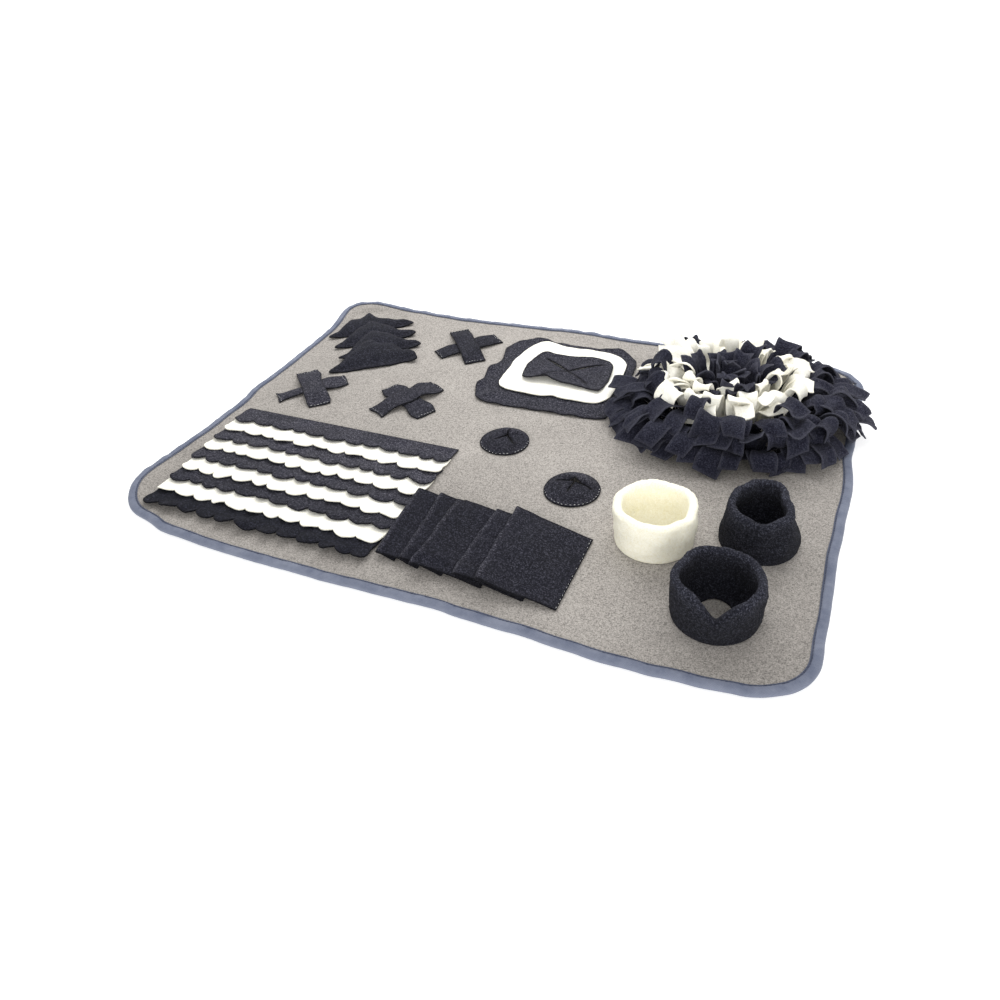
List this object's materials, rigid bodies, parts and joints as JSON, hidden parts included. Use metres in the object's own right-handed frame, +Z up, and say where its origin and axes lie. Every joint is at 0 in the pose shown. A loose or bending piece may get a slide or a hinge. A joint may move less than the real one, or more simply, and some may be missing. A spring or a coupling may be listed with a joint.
{
  "type": "snuffle mat",
  "caption": "Flat bound fleece mat with scalloped rows, leaf flaps, crossed strips, layered panels, slit round patches, a pleated flap, upright cups and a tall tabbed ruffle for hiding treats.",
  "frame": {"origin": "middle of the mat's flat underside, on the surface that it lies on", "axes": "+X along the long side towards the ruffle and cups, +Y across the mat from the pleated flap towards the leaf flaps, +Z up out of the fleece"},
  "size_m": [0.6706, 0.5035, 0.0622],
  "materials": {
    "taupe_fleece": "short grainy fleece pile, matt",
    "charcoal_fleece": "heathered fleece pile, matt, with cut edges",
    "cream_fleece": "soft fleece pile, matt, with cut edges",
    "blue_grey_tape": "woven bias tape with a darker line of stitches"
  },
  "bodies": {
    "root": {"mat_base": "taupe_fleece", "edge_binding": "blue_grey_tape", "scallop_row_1": "charcoal_fleece", "scallop_row_3": "charcoal_fleece", "scallop_row_5": "charcoal_fleece", "scallop_row_7": "charcoal_fleece", "scallop_row_9": "charcoal_fleece", "leaf_flap_1": "charcoal_fleece", "leaf_flap_2": "charcoal_fleece", "leaf_flap_3": "charcoal_fleece", "leaf_flap_4": "charcoal_fleece", "cross_left_under": "charcoal_fleece", "cross_left_over": "charcoal_fleece", "cross_front_under": "charcoal_fleece", "cross_front_over": "charcoal_fleece", "cross_far_under": "charcoal_fleece", "cross_far_over": "charcoal_fleece", "target_outer": "charcoal_fleece", "target_inner": "charcoal_fleece", "round_patch_1": "charcoal_fleece", "round_patch_2": "charcoal_fleece", "pleated_flap": "charcoal_fleece", "cup_charcoal_rear": "charcoal_fleece", "cup_charcoal_front": "charcoal_fleece", "ruffle_ring_1": "charcoal_fleece", "ruffle_ring_2": "charcoal_fleece", "ruffle_ring_3": "charcoal_fleece", "ruffle_ring_centre_1": "charcoal_fleece", "ruffle_ring_centre_2": "charcoal_fleece", "scallop_row_2": "cream_fleece", "scallop_row_4": "cream_fleece", "scallop_row_6": "cream_fleece", "scallop_row_8": "cream_fleece", "target_middle": "cream_fleece", "cup_cream": "cream_fleece", "ruffle_ring_cream_1": "cream_fleece", "ruffle_ring_cream_2": "cream_fleece"}
  },
  "joints": []
}
